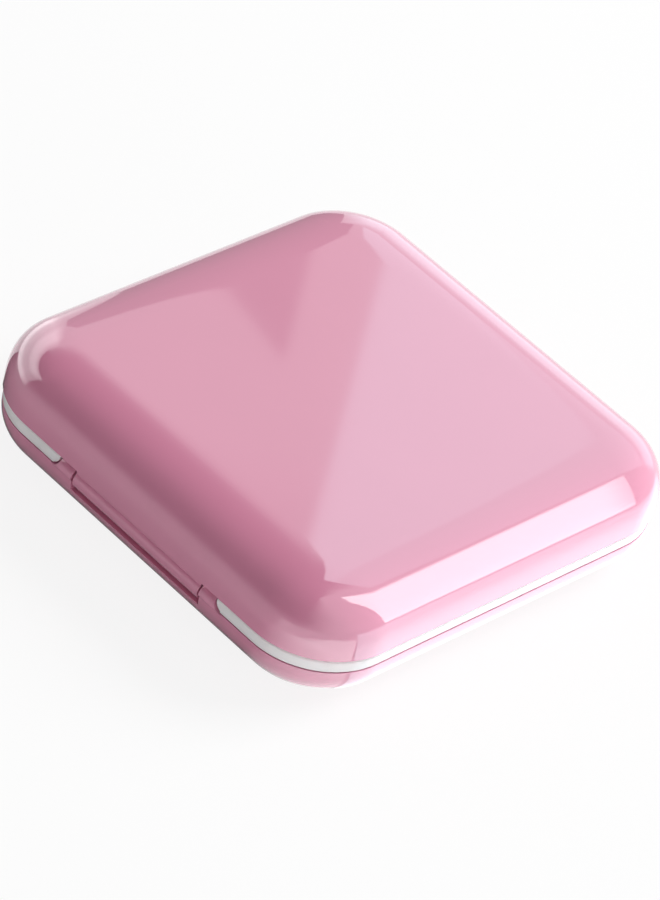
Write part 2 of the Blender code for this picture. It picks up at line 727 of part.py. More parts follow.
def make_applicator_cup():
    root = HANDLE_LENGTH + SIDE_GAP
    mouth = HANDLE_LENGTH + CUP_LENGTH
    bore = PEG_RADIUS + TIP_SOCKET_GAP
    bore_end = HANDLE_LENGTH + PEG_LENGTH + TIP_SOCKET_GAP
    profile = [
        (0.0, mouth - CUP_HOLLOW), (CUP_MOUTH_RADIUS - CUP_LIP, mouth), (CUP_MOUTH_RADIUS, mouth),
        (CUP_ROOT_RADIUS, mouth - 2 * CUP_HOLLOW), (CUP_ROOT_RADIUS, root), (bore, root), (bore, bore_end),
        (0.0, bore_end),
    ]
    return finish(lay_along_x(turned("applicator_cup", profile, HANDLE_STEPS)), SILICONE)


# Mirror

def make_mirror_frame():
    window = MIRROR_HALF + SIDE_GAP
    rings = [rounded_square(FRAME_HALF, FRAME_CORNER), rounded_square(window, MIRROR_CORNER + SIDE_GAP)]
    return finish(slab("mirror_frame", rings, FRAME_BOTTOM, FRAME_TOP), WHITE)


def make_mirror():
    top = CEILING_Z - 2 * TAPE_GAP - TAPE_THICKNESS
    outline = rounded_square(MIRROR_HALF, MIRROR_CORNER)
    return finish(slab("mirror", [outline], top - MIRROR_THICKNESS, top), MIRROR)


def make_mirror_tape():
    top = CEILING_Z - TAPE_GAP
    outline = rounded_square(TAPE_HALF, MIRROR_CORNER)
    return finish(slab("mirror_tape", [outline], top - TAPE_THICKNESS, top), TAPE)


# Assembly: fixed pieces first, then each moving piece on its own pivot.
make_base_shell()
make_hinge_pin()
make_base_tray()
make_lens_holder()
make_tweezer_bow()
make_applicator_handle()
make_applicator_cup()

lid_hinge = pivot("lid_hinge", 0, HINGE_Y, HINGE_Z)
hang(lid_hinge, make_lid_shell(), make_mirror_frame(), make_mirror(), make_mirror_tape())

for hand, x in (("left", -WELL_X), ("right", WELL_X)):
    cap_axis = pivot(f"{hand}_cap_axis", x, WELL_Y, WELL_FOOT_Z)
    hang(cap_axis, make_cap(f"{hand}_cap", x), make_cap_seal(f"{hand}_cap_seal", x))

for place, side in (("front", -1), ("rear", 1)):
    arm_pivot = pivot(f"{place}_arm_pivot", ARM_ROOT_X, TWEEZER_Y + side * ARM_ROOT_SPREAD, TWEEZER_BOTTOM)
    arm = make_tweezer_arm(f"tweezer_{place}_arm", side)
    hang(arm_pivot, arm, make_tweezer_tip(f"tweezer_{place}_tip", side))
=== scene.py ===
"""A square contact lens case in glossy pink plastic, with its tray, lens wells, tools and lid mirror."""

import math

import bmesh
import bpy
from mathutils import Matrix, Vector


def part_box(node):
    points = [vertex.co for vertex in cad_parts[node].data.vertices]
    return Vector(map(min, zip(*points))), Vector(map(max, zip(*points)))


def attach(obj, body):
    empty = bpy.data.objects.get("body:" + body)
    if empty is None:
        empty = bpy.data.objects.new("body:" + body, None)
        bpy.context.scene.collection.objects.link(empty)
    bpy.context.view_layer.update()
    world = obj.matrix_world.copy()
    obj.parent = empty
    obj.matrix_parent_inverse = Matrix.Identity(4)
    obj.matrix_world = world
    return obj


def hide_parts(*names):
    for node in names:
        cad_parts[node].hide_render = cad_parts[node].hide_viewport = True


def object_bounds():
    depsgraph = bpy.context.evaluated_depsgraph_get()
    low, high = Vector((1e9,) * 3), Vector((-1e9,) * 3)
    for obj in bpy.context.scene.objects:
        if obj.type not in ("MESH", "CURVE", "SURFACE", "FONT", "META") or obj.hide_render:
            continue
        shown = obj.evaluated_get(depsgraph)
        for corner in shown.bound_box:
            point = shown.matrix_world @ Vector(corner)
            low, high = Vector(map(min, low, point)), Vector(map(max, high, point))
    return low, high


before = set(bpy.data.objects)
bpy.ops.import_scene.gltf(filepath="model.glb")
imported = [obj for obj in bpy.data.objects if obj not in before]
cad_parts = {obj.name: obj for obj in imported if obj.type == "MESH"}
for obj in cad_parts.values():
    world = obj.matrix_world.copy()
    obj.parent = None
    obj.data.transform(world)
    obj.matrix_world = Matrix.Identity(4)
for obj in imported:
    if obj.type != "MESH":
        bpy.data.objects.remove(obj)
cad_low, cad_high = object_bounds()
MM = 0.001


# The base shell is a shallow rounded square tub, moulded in glossy pink plastic about 1.5 mm thick.
# Its floor rolls up into the wall, its rear rim sweeps up into two round ears that hold the hinge pin,
# and a thumb notch is scooped out of its front rim.

case_side = cad_high.x - cad_low.x
case_half = case_side / 2
case_height = cad_high.z
corner_radius = 12.2 * MM
shell_wall = 1.5 * MM
rim_wall = 0.4 * MM
base_height = 7.1 * MM
base_inset = 0.35 * MM
base_half = case_half - base_inset
base_roll = 9.0 * MM
base_fullness = 0.5
band_height = 2.4 * MM
lid_rim_z = base_height + band_height
running_gap = 0.35 * MM
pin_low, pin_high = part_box("hinge_pin")
hinge_y = (pin_low.y + pin_high.y) / 2
hinge_z = (pin_low.z + pin_high.z) / 2
barrel_radius = 1.65 * MM
trough_radius = barrel_radius + running_gap
barrel_half = 12.9 * MM
ear_radius = 1.78 * MM
ear_inner = barrel_half + running_gap
ear_outer = 16.0 * MM
ear_sweep = 1.6 * MM
hinge_wall = 0.8 * MM
pin_hole = 0.85 * MM
pin_end_gap = 0.2 * MM
ear_sink = 0.65 * MM
ear_root_drop = 1.2 * MM
trough_fall = 0.3 * MM
notch_radius = 10.0 * MM
notch_depth = 1.2 * MM
notch_bite = 0.6 * shell_wall
shell_edge = 0.18 * MM


def put_in_scene(name, bm):
    mesh = bpy.data.meshes.new(name)
    bm.to_mesh(mesh)
    bm.free()
    piece = bpy.data.objects.new(name, mesh)
    bpy.context.scene.collection.objects.link(piece)
    return piece


def freeze(piece):
    """Makes a piece's modifiers part of its mesh."""
    bpy.context.view_layer.update()
    graph = bpy.context.evaluated_depsgraph_get()
    mesh = bpy.data.meshes.new_from_object(piece.evaluated_get(graph))
    piece.modifiers.clear()
    piece.data = mesh


def combine(piece, operation, *others):
    """Joins other solids to a piece, or cuts them out of it, and removes them."""
    for other in others:
        step = piece.modifiers.new(other.name, "BOOLEAN")
        step.operation = operation
        step.solver = "EXACT"
        step.object = other
        freeze(piece)
        bpy.data.objects.remove(other)


def soften(piece, width, segments=3, angle=38.0):
    """Rounds a piece's hard edges as a mould does, and keeps its flat faces flat in the shading."""
    bm = bmesh.new()
    bm.from_mesh(piece.data)
    bmesh.ops.remove_doubles(bm, verts=bm.verts, dist=0.002 * MM)
    bmesh.ops.dissolve_limit(bm, angle_limit=math.radians(0.3), verts=bm.verts, edges=bm.edges)
    bm.to_mesh(piece.data)
    bm.free()
    piece.data.shade_smooth()
    rounding = piece.modifiers.new("rounding", "BEVEL")
    rounding.width = width
    rounding.segments = segments
    rounding.limit_method = "ANGLE"
    rounding.angle_limit = math.radians(angle)
    rounding.miter_outer = "MITER_ARC"
    normals = piece.modifiers.new("normals", "WEIGHTED_NORMAL")
    normals.keep_sharp = True
    freeze(piece)


def arc(centre, radius, start, end, steps):
    """Points along a circular arc, with angles in degrees."""
    points = []
    for step in range(steps + 1):
        angle = math.radians(start + (end - start) * step / steps)
        points.append((centre[0] + radius * math.cos(angle), centre[1] + radius * math.sin(angle)))
    return points


def pushed_outline(name, points, push):
    """A flat outline of points in space, pushed out into a solid."""
    bm = bmesh.new()
    face = bm.faces.new([bm.verts.new(point) for point in points])
    made = bmesh.ops.extrude_face_region(bm, geom=[face])
    moved = [item for item in made["geom"] if isinstance(item, bmesh.types.BMVert)]
    bmesh.ops.translate(bm, verts=moved, vec=push)
    bmesh.ops.recalc_face_normals(bm, faces=bm.faces)
    return put_in_scene(name, bm)


def along_x(name, outline, half):
    """A side outline of (y, z) points, pushed from -half to half along X."""
    return pushed_outline(name, [(-half, y, z) for y, z in outline], (2 * half, 0, 0))


def along_y(name, outline, low_y, high_y):
    """A front outline of (x, z) points, pushed along Y."""
    return pushed_outline(name, [(x, low_y, z) for x, z in outline], (0, high_y - low_y, 0))


def rod(name, radius, half, y, z, steps=48):
    """A round bar along X."""
    bm = bmesh.new()
    turn = Matrix.Translation((0, y, z)) @ Matrix.Rotation(math.pi / 2, 4, "Y")
    bmesh.ops.create_cone(
        bm, cap_ends=True, segments=steps, radius1=radius, radius2=radius, depth=2 * half, matrix=turn
    )
    return put_in_scene(name, bm)


def rolled_tub(half, radius, height, roll, fullness, corner_steps=28, roll_steps=18):
    """A rounded square tub, open at the top, whose floor rolls up into its wall.

    A fullness of 0.5 makes the roll an ellipse, and more makes it squarer.
    """
    stretch = (height - rim_wall) / roll
    cage_height = height / stretch
    bm = bmesh.new()
    bmesh.ops.create_cube(bm, size=1.0)
    bmesh.ops.scale(bm, verts=bm.verts, vec=(2 * half, 2 * half, cage_height))
    bmesh.ops.translate(bm, verts=bm.verts, vec=(0, 0, cage_height / 2))
    upright = [e for e in bm.edges if abs(e.verts[0].co.z - e.verts[1].co.z) > cage_height / 2]
    bmesh.ops.bevel(
        bm, geom=upright, offset=radius, offset_type="OFFSET", segments=corner_steps,
        profile=0.5, affect="EDGES", material=-1,
    )
    open_end = max(bm.faces, key=lambda face: face.calc_center_median().z)
    bmesh.ops.delete(bm, geom=[open_end], context="FACES_ONLY")
    floor_face = min(bm.faces, key=lambda face: face.calc_center_median().z)
    bmesh.ops.bevel(
        bm, geom=list(floor_face.edges), offset=roll, offset_type="OFFSET", segments=roll_steps,
        profile=fullness, affect="EDGES", material=-1, clamp_overlap=False,
    )
    floor_face = min(bm.faces, key=lambda face: face.calc_center_median().z)
    bmesh.ops.inset_region(bm, faces=[floor_face], thickness=0.4 * MM, use_even_offset=True)
    bmesh.ops.scale(bm, verts=bm.verts, vec=(1, 1, stretch))
    return bm


def give_wall(piece):
    """Thickens an open tub inwards."""
    shell = piece.modifiers.new("wall", "SOLIDIFY")
    shell.thickness = shell_wall
    shell.offset = -1.0
    shell.use_even_offset = True
    freeze(piece)


def node(tree, kind, links=None, **values):
    """Adds a shader node. Links fill its inputs from other nodes or with numbers; values are its settings."""
    made = tree.nodes.new(kind)
    for name, value in values.items():
        setattr(made, name, value)
    for name, source in (links or {}).items():
        if isinstance(source, bpy.types.NodeSocket):
            tree.links.new(source, made.inputs[name])
        else:
            made.inputs[name].default_value = source
    return made


def make_moulded_surface():
    """What moulding and use leave on plastic: faint flow in its colour, a fine skin, and hairline scuffs."""
    group = bpy.data.node_groups.new("moulded_surface", "ShaderNodeTree")
    sockets = group.interface
    sockets.new_socket("Colour", in_out="INPUT", socket_type="NodeSocketColor")
    for name in ("Flow", "Roughness", "Scuffs"):
        sockets.new_socket(name, in_out="INPUT", socket_type="NodeSocketFloat")
    sockets.new_socket("Colour", in_out="OUTPUT", socket_type="NodeSocketColor")
    sockets.new_socket("Roughness", in_out="OUTPUT", socket_type="NodeSocketFloat")
    sockets.new_socket("Height", in_out="OUTPUT", socket_type="NodeSocketFloat")
    given = group.nodes.new("NodeGroupInput")
    result = group.nodes.new("NodeGroupOutput")
    where = group.nodes.new("ShaderNodeTexCoord").outputs["Object"]

    flow = node(group, "ShaderNodeTexNoise", {
        "Vector": where, "Scale": 38.0, "Detail": 3.0, "Distortion": 0.6,
    })
    swing = node(group, "ShaderNodeMath", {0: flow.outputs["Fac"], 1: -0.5}, operation="ADD")
    shift = node(group, "ShaderNodeMath", {
        0: swing.outputs[0], 1: given.outputs["Flow"], 2: 1.0,
    }, operation="MULTIPLY_ADD")
    tint = node(group, "ShaderNodeHueSaturation", {
        "Value": shift.outputs[0], "Color": given.outputs["Colour"],
    })

    skin = node(group, "ShaderNodeTexNoise", {"Vector": where, "Scale": 1900.0, "Detail": 2.0})
    marks = []
    for angle, seed in ((24.0, 0.0), (-51.0, 3.0)):
        place = node(group, "ShaderNodeMapping", {
            "Vector": where, "Location": (seed, seed, seed),
            "Rotation": (0.0, 0.0, math.radians(angle)), "Scale": (2600.0, 45.0, 45.0),
        })
        lines = node(group, "ShaderNodeTexNoise", {"Vector": place.outputs[0], "Scale": 1.0, "Detail": 1.0})
        marks.append(node(group, "ShaderNodeMapRange", {
            "Value": lines.outputs["Fac"], "From Min": 0.66, "From Max": 0.76, "To Min": 0.0, "To Max": 1.0,
        }))
    hairlines = node(group, "ShaderNodeMath", {
        0: marks[0].outputs[0], 1: marks[1].outputs[0],
    }, operation="MAXIMUM")
    dulled = node(group, "ShaderNodeMath", {
        0: hairlines.outputs[0], 1: given.outputs["Scuffs"], 2: given.outputs["Roughness"],
    }, operation="MULTIPLY_ADD")
    cloudy = node(group, "ShaderNodeMath", {
        0: swing.outputs[0], 1: 0.04, 2: dulled.outputs[0],
    }, operation="MULTIPLY_ADD")
    group.links.new(tint.outputs[0], result.inputs["Colour"])
    group.links.new(cloudy.outputs[0], result.inputs["Roughness"])
    group.links.new(skin.outputs["Fac"], result.inputs["Height"])
    return group


moulded_surface = make_moulded_surface()


def moulded_plastic(
    name, colour, roughness, flow=0.06, scuffs=0.08, skin=0.03, ior=1.5, coat=0.0, subsurface=0.0
):
    """A moulded plastic of one colour, glossy or satin, with the marks of moulding and use."""
    material = bpy.data.materials.new(name)
    material.use_nodes = True
    tree = material.node_tree
    shader = tree.nodes["Principled BSDF"]
    shader.inputs["IOR"].default_value = ior
    shader.inputs["Coat Weight"].default_value = coat
    shader.inputs["Coat IOR"].default_value = ior
    shader.inputs["Subsurface Weight"].default_value = subsurface
    shader.inputs["Subsurface Radius"].default_value = (1.0, 0.6, 0.6)
    shader.inputs["Subsurface Scale"].default_value = 1.5 * MM
    surface = node(tree, "ShaderNodeGroup", node_tree=moulded_surface)
    surface.inputs["Colour"].default_value = (*colour, 1.0)
    surface.inputs["Flow"].default_value = flow
    surface.inputs["Roughness"].default_value = roughness
    surface.inputs["Scuffs"].default_value = scuffs
    bump = node(tree, "ShaderNodeBump", {
        "Height": surface.outputs["Height"], "Strength": skin, "Distance": 0.02 * MM,
    })
    tree.links.new(surface.outputs["Colour"], shader.inputs["Base Color"])
    tree.links.new(surface.outputs["Roughness"], shader.inputs["Roughness"])
    tree.links.new(bump.outputs[0], shader.inputs["Normal"])
    return material


pink = (0.735, 0.27, 0.41)
pink_gloss = moulded_plastic("pink_gloss", pink, 0.05, scuffs=0.05, skin=0.015, ior=1.65, coat=1.0)

bm = rolled_tub(base_half, corner_radius - base_inset, base_height, base_roll, base_fullness)
base_shell = put_in_scene("base_shell_moulding", bm)
give_wall(base_shell)

ear_foot = ear_outer + ear_sweep
block_bottom = hinge_z - trough_radius - hinge_wall
block_inner = hinge_y - trough_radius - hinge_wall
buried = base_half - ear_sink
ear_end = [(ear_foot, block_bottom)]
ear_end += arc((ear_foot, base_height + ear_sweep), ear_sweep, 270, 180, 14)
ear_end.append((ear_outer, lid_rim_z))
ear_front = ear_end + [(-x, z) for x, z in reversed(ear_end)]
ear_side = [(buried, block_bottom), (buried, hinge_z - ear_root_drop)]
ear_side += arc((hinge_y, hinge_z), ear_radius, 0, 90, 18)
ear_side += [(block_inner, hinge_z + ear_radius), (block_inner, block_bottom)]
ears = along_x("ears", ear_side, case_half / 2)
combine(ears, "INTERSECT", along_y("ear_ends", ear_front, block_inner - 5 * MM, case_side))
combine(base_shell, "UNION", ears)

trough_inner = hinge_y - trough_radius
trough = arc((hinge_y, hinge_z), trough_radius, 180, 285, 24)
trough_mouth = hinge_z - trough_radius - trough_fall
trough += [(case_side, trough_mouth), (case_side, case_height), (trough_inner, case_height)]
notch = arc((0, base_height + notch_radius - notch_depth), notch_radius, 0, 356.25, 95)
combine(
    base_shell, "DIFFERENCE",
    along_x("trough", trough, ear_inner),
    rod("ear_bores", pin_hole, pin_high.x + pin_end_gap, hinge_y, hinge_z),
    along_y("thumb_notch", notch, -case_side, -base_half + notch_bite),
)
soften(base_shell, shell_edge)
base_shell.data.materials.append(pink_gloss)
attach(base_shell, "base")
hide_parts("base_shell")


# The hinge pin is a length of drawn steel wire with chamfered ends. It runs through the lid's barrel,
# and its ends are pressed into blind holes in the base's ears, so that it doesn't show.

pin_radius = (pin_high.z - pin_low.z) / 2
pin_steps = 32
pin_chamfer = 0.15 * MM
hinge_pin = rod("hinge_pin_wire", pin_radius, pin_high.x, hinge_y, hinge_z, pin_steps)
soften(hinge_pin, pin_chamfer, 2)


def drawn_steel(name):
    """Bright wire with fine lines along its length."""
    material = bpy.data.materials.new(name)
    material.use_nodes = True
    tree = material.node_tree
    shader = tree.nodes["Principled BSDF"]
    shader.inputs["Metallic"].default_value = 1.0
    where = tree.nodes.new("ShaderNodeTexCoord").outputs["Object"]
    along = node(tree, "ShaderNodeMapping", {"Vector": where, "Scale": (60.0, 4000.0, 4000.0)})
    lines = node(tree, "ShaderNodeTexNoise", {"Vector": along.outputs[0], "Scale": 1.0, "Detail": 3.0})
    colour = node(tree, "ShaderNodeValToRGB", {"Fac": lines.outputs["Fac"]})
    colour.color_ramp.elements[0].color = (0.42, 0.42, 0.44, 1.0)
    colour.color_ramp.elements[1].color = (0.68, 0.68, 0.70, 1.0)
    rough = node(tree, "ShaderNodeMapRange", {"Value": lines.outputs["Fac"], "To Min": 0.18, "To Max": 0.38})
    bump = node(tree, "ShaderNodeBump", {
        "Height": lines.outputs["Fac"], "Strength": 0.2, "Distance": 0.01 * MM,
    })
    tree.links.new(colour.outputs[0], shader.inputs["Base Color"])
    tree.links.new(rough.outputs[0], shader.inputs["Roughness"])
    tree.links.new(bump.outputs[0], shader.inputs["Normal"])
    return material


hinge_pin.data.materials.append(drawn_steel("drawn_steel"))
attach(hinge_pin, "base")
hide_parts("hinge_pin")


# The tray is one moulding in satin white plastic that drops into the base. The edge of its flange shows
# round the closed case as the white band, its lip keeps the lid in line, and pockets are sunk in its deck
# for the wells and the tools.

flange_inset = base_inset + 0.05 * MM
flange_chamfer = 0.5 * MM
layer_gap = 0.15 * MM
side_gap = 0.3 * MM
flange_bottom = base_height + layer_gap
flange_top = lid_rim_z - 0.4 * MM
lip_inset = shell_wall + 0.4 * MM
lip_wall = 1.0 * MM
lip_top = lid_rim_z + 1.2 * MM
tray_wall = 1.0 * MM
pocket_floor = 3.7 * MM
pocket_corner = 4.0 * MM
tweezer_lane = (-29.0 * MM, 2.6 * MM, 29.0 * MM, 15.4 * MM)
applicator_lane = (-28.0 * MM, 19.4 * MM, 28.0 * MM, 28.6 * MM)
finger_lane = (-8.0 * MM, 10.0 * MM, 8.0 * MM, 24.0 * MM)
rib_wall = 1.4 * MM
rib_reach = 15.0 * MM
cup_low, cup_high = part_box("applicator_cup")
applicator_y = (cup_low.y + cup_high.y) / 2
applicator_z = (cup_low.z + cup_high.z) / 2
handle_radius = 2.7 * MM
bow_low, bow_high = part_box("tweezer_bow")
tweezer_bottom = bow_low.z
right_low, right_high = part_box("right_cap")
well_x = (right_low.x + right_high.x) / 2
well_y = (right_low.y + right_high.y) / 2
well_foot_z = shell_wall + 0.2 * MM
shoulder_z = well_foot_z + 4.6 * MM
cap_radius = 13.6 * MM
seat_radius = 12.8 * MM
counterbore = cap_radius + 0.6 * MM
well_ring_bottom = 3.0 * MM
bridge_bottom = well_foot_z + 3.0 * MM
bridge_slot_half = 5.6 * MM
tray_edge = 0.22 * MM


def rounded_block(name, low, high, radius, steps=12):
    """A box whose upright edges are rounded."""
    bm = bmesh.new()
    bmesh.ops.create_cube(bm, size=1.0)
    bmesh.ops.scale(bm, verts=bm.verts, vec=[b - a for a, b in zip(low, high)])
    bmesh.ops.translate(bm, verts=bm.verts, vec=[(a + b) / 2 for a, b in zip(low, high)])
    if radius:
        middle = (low[2] + high[2]) / 2
        upright = []
        for edge in bm.edges:
            bottom, top = sorted(vertex.co.z for vertex in edge.verts)
            if bottom < middle < top:
                upright.append(edge)
        bmesh.ops.bevel(
            bm, geom=upright, offset=radius, offset_type="OFFSET", segments=steps,
            profile=0.5, affect="EDGES", material=-1,
        )
    return put_in_scene(name, bm)


def rounded_plate(name, half, radius, bottom, top, steps=28):
    """A square plate with rounded corners."""
    return rounded_block(name, (-half, -half, bottom), (half, half, top), radius, steps)


def post(name, radius, x, y, bottom, top, steps=96):
    """A round post along Z."""
    bm = bmesh.new()
    place = Matrix.Translation((x, y, (bottom + top) / 2))
    bmesh.ops.create_cone(
        bm, cap_ends=True, segments=steps, radius1=radius, radius2=radius, depth=top - bottom, matrix=place
    )
    return put_in_scene(name, bm)


def lane_block(name, lane, grown, bottom, top):
    """A pocket's space, or with some growth the walls round it."""
    low_x, low_y, high_x, high_y = lane
    low = (low_x - grown, low_y - grown, bottom)
    return rounded_block(name, low, (high_x + grown, high_y + grown, top), pocket_corner + grown)


flange_half = case_half - flange_inset
tray = rounded_plate("tray_moulding", flange_half, corner_radius - flange_inset, flange_bottom, flange_top)
bm = bmesh.new()
bm.from_mesh(tray.data)
rim = max(bm.faces, key=lambda face: face.calc_center_median().z)
bmesh.ops.bevel(
    bm, geom=list(rim.edges), offset=flange_chamfer, offset_type="OFFSET", segments=3,
    profile=0.5, affect="EDGES", material=-1,
)
bm.to_mesh(tray.data)
bm.free()
lip_bottom = flange_bottom + tray_wall
lip = rounded_plate("lip", case_half - lip_inset, corner_radius - lip_inset, lip_bottom, lip_top)
lip_space = lip_inset + lip_wall
inside_lip = rounded_plate("inside_lip", case_half - lip_space, corner_radius - lip_space, 0, case_height)
combine(lip, "DIFFERENCE", inside_lip)
combine(tray, "UNION", lip)
deck = (flange_bottom + flange_top) / 2
lanes = {"tweezer_lane": tweezer_lane, "applicator_lane": applicator_lane, "finger_lane": finger_lane}
for name, lane in lanes.items():
    combine(tray, "UNION", lane_block(name, lane, tray_wall, pocket_floor - tray_wall, deck))
for x in (-well_x, well_x):
    combine(tray, "UNION", post("well_ring", counterbore + tray_wall, x, well_y, well_ring_bottom, deck))
for name, lane in lanes.items():
    combine(tray, "DIFFERENCE", lane_block(name, lane, 0, pocket_floor, case_height))
for x in (-well_x, well_x):
    combine(
        tray, "DIFFERENCE",
        post("well_seat", seat_radius, x, well_y, -MM, case_height),
        post("cap_seat", counterbore, x, well_y, shoulder_z, case_height),
    )
slot_low = (-well_x, well_y - bridge_slot_half, bridge_bottom - running_gap)
slot_high = (well_x, well_y + bridge_slot_half, case_height)
combine(tray, "DIFFERENCE", rounded_block("bridge_slot", slot_low, slot_high, 0))
notch_end = arc((ear_foot, base_height + ear_sweep), ear_sweep - side_gap, 255, 180, 14)
notch_end = [(notch_end[0][0], 0.0), *notch_end, (ear_outer + side_gap, case_height)]
flange_notch = notch_end + [(-x, z) for x, z in reversed(notch_end)]
combine(tray, "DIFFERENCE", along_y("flange_notch", flange_notch, block_inner - side_gap, case_side))
for x in (-rib_reach, rib_reach):
    rib_low = (x - rib_wall / 2, applicator_lane[1] - tray_wall / 2, pocket_floor - tray_wall / 2)
    rib_high = (x + rib_wall / 2, applicator_lane[3] + tray_wall / 2, applicator_z)
    cradle = rounded_block("cradle", rib_low, rib_high, 0)
    seat = rod("seat", handle_radius + side_gap, case_half, applicator_y, applicator_z)
    combine(cradle, "DIFFERENCE", seat)
    rest_low = (rib_low[0], tweezer_lane[1] - tray_wall / 2, rib_low[2])
    rest_high = (rib_high[0], tweezer_lane[3] + tray_wall / 2, tweezer_bottom - layer_gap)
    combine(tray, "UNION", cradle, rounded_block("tweezer_rest", rest_low, rest_high, 0))
soften(tray, tray_edge)
white_satin = moulded_plastic(
    "white_satin", (0.89, 0.875, 0.88), 0.24, flow=0.03, scuffs=0.03, skin=0.05, subsurface=0.08
)
tray.data.materials.append(white_satin)
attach(tray, "base")
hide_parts("base_tray")


# The lens holder is one moulding in milky plastic: two threaded wells joined by a bridge, set into the tray.
# Each well has a dished floor, so that the lens can be slid out with a fingertip.

well_radius = 12.4 * MM
well_bore = 10.2 * MM
well_floor = 1.2 * MM
well_dish = 4.0 * MM
well_neck = 11.4 * MM
well_shoulder = 4.6 * MM
well_lip = 9.4 * MM
well_steps = 96
thread_lead = 3.0 * MM
thread_radius = 0.5 * MM
thread_rise = 0.1 * MM
outer_thread_z = 6.6 * MM
shoulder_slope = 0.4 * MM
foot_chamfer = 0.8 * MM
bridge_half = 4.5 * MM
bridge_thickness = 1.6 * MM
fine_edge = 0.15 * MM


def turned(name, profile, steps=well_steps):
    """A profile of (radius, height) points spun once about Z."""
    bm = bmesh.new()
    points = [bm.verts.new((radius, 0, height)) for radius, height in profile]
    lines = [bm.edges.new(pair) for pair in zip(points, points[1:])]
    bmesh.ops.spin(
        bm, geom=points + lines, cent=(0, 0, 0), axis=(0, 0, 1),
        angle=2 * math.pi, steps=steps, use_merge=True,
    )
    bmesh.ops.remove_doubles(bm, verts=bm.verts, dist=0.001 * MM)
    bmesh.ops.recalc_face_normals(bm, faces=bm.faces)
    return put_in_scene(name, bm)


def thread(name, radius, start, end, height):
    """A round thread ridge that climbs one lead a turn, with closed ends."""
    bm = bmesh.new()
    turn = math.radians(end - start)
    steps = round((end - start) / 360 * well_steps)
    climb = thread_lead * (end - start) / 360 / steps
    foot = Matrix.Translation((radius, 0, height + thread_lead * start / 360))
    first = Matrix.Rotation(math.radians(start), 4, "Z") @ foot @ Matrix.Rotation(math.pi / 2, 4, "X")
    bmesh.ops.create_circle(bm, cap_ends=True, segments=10, radius=thread_radius, matrix=first)
    bmesh.ops.spin(
        bm, geom=bm.verts[:] + bm.edges[:] + bm.faces[:], cent=(0, 0, 0), axis=(0, 0, 1),
        dvec=(0, 0, climb), angle=turn, steps=steps, use_merge=False,
    )
    bmesh.ops.recalc_face_normals(bm, faces=bm.faces)
    return put_in_scene(name, bm)


def place_mesh(piece, x, y, z):
    piece.data.transform(Matrix.Translation((x, y, z)))
    return piece


well_profile = [(0.0, well_floor)]
well_profile += arc((well_bore - well_dish, well_floor + well_dish), well_dish, 270, 360, 14)
well_profile += [
    (well_bore, well_lip), (well_neck, well_lip), (well_neck, well_shoulder + shoulder_slope),
    (well_radius, well_shoulder), (well_radius, foot_chamfer), (well_radius - foot_chamfer, 0.0), (0.0, 0.0),
]
wells = []
for name, x in (("lens_wells", -well_x), ("second_well", well_x)):
    well = turned(name, well_profile)
    combine(well, "UNION", thread("well_thread", well_neck + thread_rise, 0.0, 240.0, outer_thread_z))
    wells.append(place_mesh(well, x, well_y, well_foot_z))
lens_wells, second_well = wells
bridge_reach = well_x - (well_radius + well_bore) / 2
bridge_low = (-bridge_reach, well_y - bridge_half, bridge_bottom)
bridge_high = (bridge_reach, well_y + bridge_half, bridge_bottom + bridge_thickness)
combine(lens_wells, "UNION", rounded_block("bridge", bridge_low, bridge_high, 0), second_well)
soften(lens_wells, fine_edge, 2)
milky = moulded_plastic(
    "milky_plastic", (0.84, 0.82, 0.84), 0.16, flow=0.04, scuffs=0.06, skin=0.03, subsurface=0.25
)
lens_wells.data.materials.append(milky)
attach(lens_wells, "base")
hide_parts("lens_holder")


# Two screw caps close the wells. Each is a pale pink cup with a ribbed grip and an inner thread,
# has a raised letter for its eye, and holds a thin silicone disc that seals the well's lip.

cap_bore = 12.3 * MM
cap_skirt = 5.3 * MM
cap_roof = 10.1 * MM
cap_top = 11.2 * MM
cap_edge = 1.1 * MM
cap_ribs = 40
rib_depth = 0.32 * MM
cap_steps = cap_ribs * 6
seal_radius = 11.6 * MM
seal_gap = 0.15 * MM
letter_size = 9.0 * MM
letter_height = 0.3 * MM
letter_edge = 0.08 * MM
seal_edge = 0.08 * MM
inner_thread_z = outer_thread_z - 1.2 * MM

pale_pink = moulded_plastic("pale_pink_satin", (0.80, 0.46, 0.57), 0.20, flow=0.05, scuffs=0.03, skin=0.05)
silicone = moulded_plastic(
    "soft_silicone", (0.85, 0.74, 0.77), 0.42, flow=0.05, scuffs=0.04, skin=0.12, subsurface=0.30
)


def make_cap(name, x):
    """A spun cup whose side is drawn in between its grip ribs."""
    profile = [(0.0, cap_top)]
    profile += arc((cap_radius - cap_edge, cap_top - cap_edge), cap_edge, 90, 0, 6)
    profile += [
        (cap_radius, cap_skirt + 1.0 * MM), (cap_radius, cap_skirt), (cap_bore, cap_skirt),
        (cap_bore, cap_roof), (0.0, cap_roof),
    ]
    cap = turned(name, profile, cap_steps)
    grip = cap_radius - 0.01 * MM
    for vertex in cap.data.vertices:
        radius = math.hypot(vertex.co.x, vertex.co.y)
        if radius > grip:
            turn = math.atan2(vertex.co.y, vertex.co.x)
            drawn_in = 1 - rib_depth / radius * (0.5 - 0.5 * math.cos(cap_ribs * turn))
            vertex.co.x *= drawn_in
            vertex.co.y *= drawn_in
    combine(cap, "UNION", thread("cap_thread", cap_bore - thread_rise, 60.0, 240.0, inner_thread_z))
    soften(cap, fine_edge, 2, 50.0)
    cap.data.materials.append(pale_pink)
    return place_mesh(cap, x, well_y, well_foot_z)


